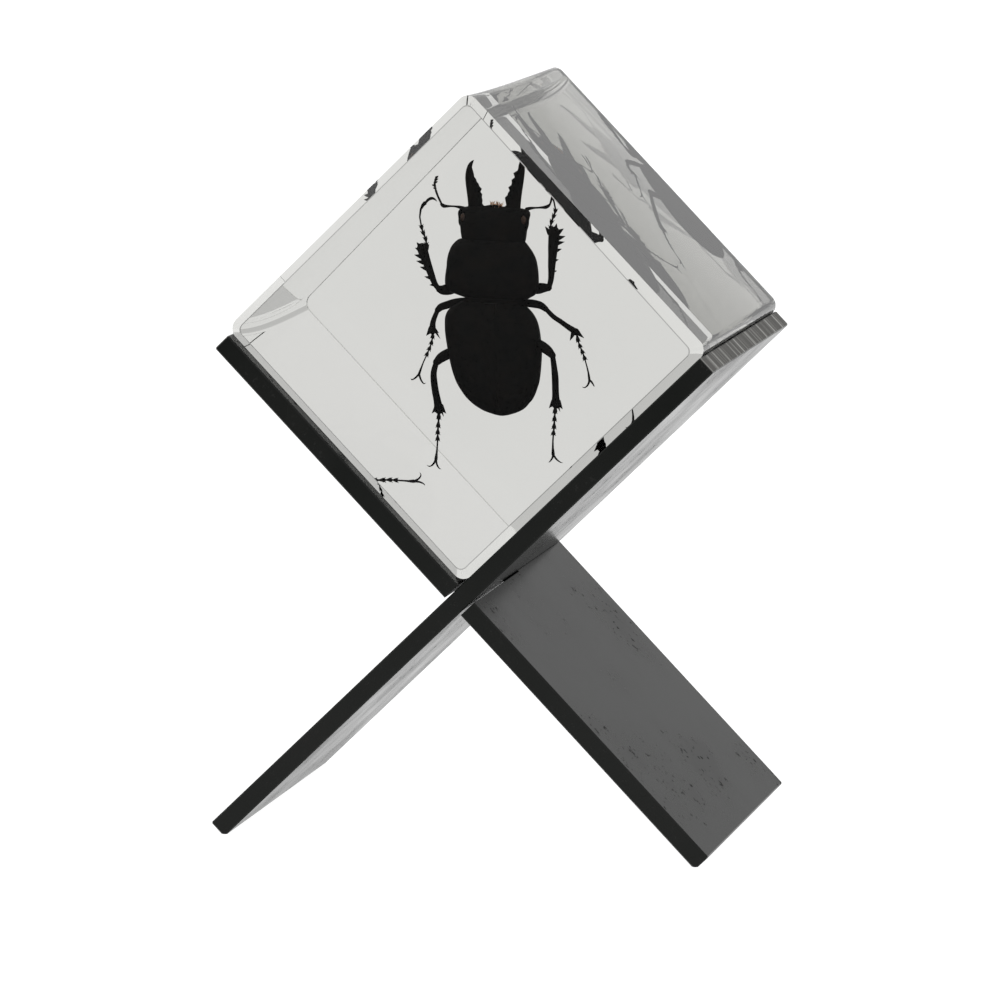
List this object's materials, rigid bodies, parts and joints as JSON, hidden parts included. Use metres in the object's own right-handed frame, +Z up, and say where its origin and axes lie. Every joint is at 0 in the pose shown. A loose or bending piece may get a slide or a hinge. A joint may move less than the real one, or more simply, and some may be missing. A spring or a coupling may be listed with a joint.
{
  "type": "insect in resin block",
  "caption": "Clear resin cube with a black stag beetle sealed inside, standing on its lower edge in an X-shaped stand of two slotted black plates.",
  "frame": {"origin": "on the surface that the two feet stand on, below the middle of the object's box", "axes": "+Z up, -Y towards the front face through which the beetle's back is seen, +X to the viewer's right"},
  "size_m": [0.0736, 0.051, 0.1085],
  "materials": {
    "clear_resin": "clear cast resin, polished",
    "beetle_shell": "black chitin, satin to glossy",
    "black_acrylic": "glossy black sheet with sawn, matt edges"
  },
  "bodies": {
    "root": {"resin_front_half": "clear_resin", "resin_back_half": "clear_resin", "stag_beetle": "beetle_shell", "stand_plate_right": "black_acrylic", "stand_plate_left": "black_acrylic"}
  },
  "joints": []
}
